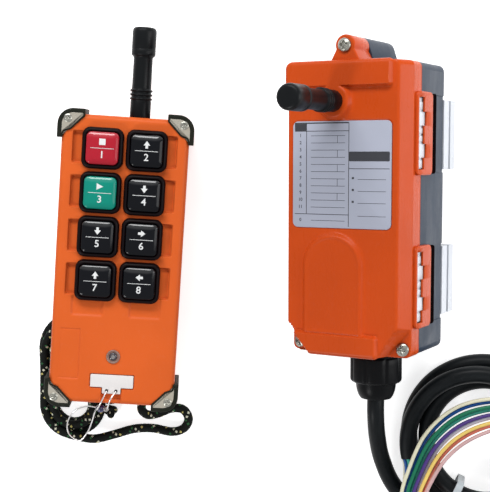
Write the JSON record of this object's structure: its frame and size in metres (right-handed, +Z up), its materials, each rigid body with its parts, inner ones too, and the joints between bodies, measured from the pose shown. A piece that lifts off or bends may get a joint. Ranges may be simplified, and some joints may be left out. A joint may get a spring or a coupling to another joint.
{
  "type": "crane radio remote control set",
  "caption": "Radio remote control set for a crane: hand-held push-key transmitter with stub antenna, and wall receiver with control cable.",
  "frame": {"origin": "middle of the footprint of the two units, on the table that they lie on", "axes": "+Z up out of the table; +Y to the antenna end of the units; +X from the transmitter to the receiver"},
  "size_m": [0.3198, 0.2869, 0.1124],
  "materials": {
    "orange_abs": "satin, finely textured",
    "grey_abs": "satin",
    "black_plastic": "polished",
    "black_nylon": "satin",
    "guard_rubber": "matte",
    "soft_rubber": "matte",
    "silicone": "matte",
    "red_key": "polished, clear cap",
    "green_key": "polished, clear cap",
    "steel": "brushed",
    "zinc": "plated",
    "brass": "turned",
    "white_nylon": "satin, slightly clear",
    "clear_lens": "clear",
    "plate_foil": "printed foil",
    "board": "lacquered",
    "relay_blue": "moulded",
    "cell_wrap": "printed wrap",
    "braid": "braided",
    "cable_pvc": "satin sheath",
    "core_pvc": "coloured insulation",
    "bead_blue": "moulded",
    "ferrite": "sintered"
  },
  "bodies": {
    "pair": {"transmitter_front_shell": "orange_abs", "transmitter_rear_shell": "orange_abs", "shell_seal": "soft_rubber", "battery_cover": "orange_abs", "battery_cover_screw": "zinc", "battery_cells": "cell_wrap", "battery_contacts": "steel", "corner_guards": "guard_rubber", "guard_plates": "steel", "guard_screws": "zinc", "key_bezels": "black_plastic", "keypad_mat": "silicone", "control_board": "board", "key_switches": "black_nylon", "radio_module": "steel", "reed_switch": "clear_lens", "status_led": "clear_lens", "led_ring": "guard_rubber", "transmitter_antenna_foot": "black_nylon", "transmitter_antenna": "soft_rubber", "lanyard_hank": "braid", "lanyard_lobe": "braid", "receiver_cover": "orange_abs", "receiver_back_shell": "grey_abs", "cover_seal": "soft_rubber", "cover_screws": "zinc", "rating_plate": "plate_foil", "receiver_antenna_foot": "black_nylon", "receiver_antenna": "soft_rubber", "rear_inserts": "brass", "gland_body": "black_nylon", "gland_seal": "soft_rubber", "gland_nut": "black_nylon", "relay_board": "board", "relays": "relay_blue", "transformer": "ferrite", "terminal_block": "green_key", "fuses": "clear_lens", "decoder_board": "board", "board_pillars": "steel", "cable_drop": "cable_pvc", "cable_coil": "cable_pvc", "core_wires": "core_pvc", "cable_tie": "white_nylon"},
    "stop_key": {"stop_key": "red_key"},
    "up_key": {"up_key": "black_plastic"},
    "start_key": {"start_key": "green_key"},
    "down_key": {"down_key": "black_plastic"},
    "south_key": {"south_key": "black_plastic"},
    "east_key": {"east_key": "black_plastic"},
    "north_key": {"north_key": "black_plastic"},
    "west_key": {"west_key": "black_plastic"},
    "safety_key": {"safety_key": "white_nylon", "key_magnet": "ferrite", "key_wire": "steel", "wire_crimp": "white_nylon", "wire_bead": "bead_blue"},
    "upper_latch": {"upper_latch": "white_nylon"},
    "lower_latch": {"lower_latch": "white_nylon"}
  },
  "joints": [
    {"name": "stop_key_press", "type": "slide", "parent": "pair", "child": "stop_key", "axis": [-0.2582, 0.0176, -0.9659], "range_m": [0, 0.0018], "stiffness_N_per_m": 900, "springref_m": -0.0006},
    {"name": "up_key_press", "type": "slide", "parent": "pair", "child": "up_key", "axis": [-0.2582, 0.0176, -0.9659], "range_m": [0, 0.0018], "stiffness_N_per_m": 900, "springref_m": -0.0006},
    {"name": "start_key_press", "type": "slide", "parent": "pair", "child": "start_key", "axis": [-0.2582, 0.0176, -0.9659], "range_m": [0, 0.0018], "stiffness_N_per_m": 900, "springref_m": -0.0006},
    {"name": "down_key_press", "type": "slide", "parent": "pair", "child": "down_key", "axis": [-0.2582, 0.0176, -0.9659], "range_m": [0, 0.0018], "stiffness_N_per_m": 900, "springref_m": -0.0006},
    {"name": "south_key_press", "type": "slide", "parent": "pair", "child": "south_key", "axis": [-0.2582, 0.0176, -0.9659], "range_m": [0, 0.0018], "stiffness_N_per_m": 900, "springref_m": -0.0006},
    {"name": "east_key_press", "type": "slide", "parent": "pair", "child": "east_key", "axis": [-0.2582, 0.0176, -0.9659], "range_m": [0, 0.0018], "stiffness_N_per_m": 900, "springref_m": -0.0006},
    {"name": "north_key_press", "type": "slide", "parent": "pair", "child": "north_key", "axis": [-0.2582, 0.0176, -0.9659], "range_m": [0, 0.0018], "stiffness_N_per_m": 900, "springref_m": -0.0006},
    {"name": "west_key_press", "type": "slide", "parent": "pair", "child": "west_key", "axis": [-0.2582, 0.0176, -0.9659], "range_m": [0, 0.0018], "stiffness_N_per_m": 900, "springref_m": -0.0006},
    {"name": "safety_key_lift", "type": "slide", "parent": "pair", "child": "safety_key", "axis": [0.2582, -0.0176, 0.9659], "range_m": [0, 0.004]},
    {"name": "upper_latch_slide", "type": "slide", "parent": "pair", "child": "upper_latch", "axis": [0, 1, 0], "range_m": [0, 0.002]},
    {"name": "lower_latch_slide", "type": "slide", "parent": "pair", "child": "lower_latch", "axis": [0, 1, 0], "range_m": [0, 0.002]}
  ]
}
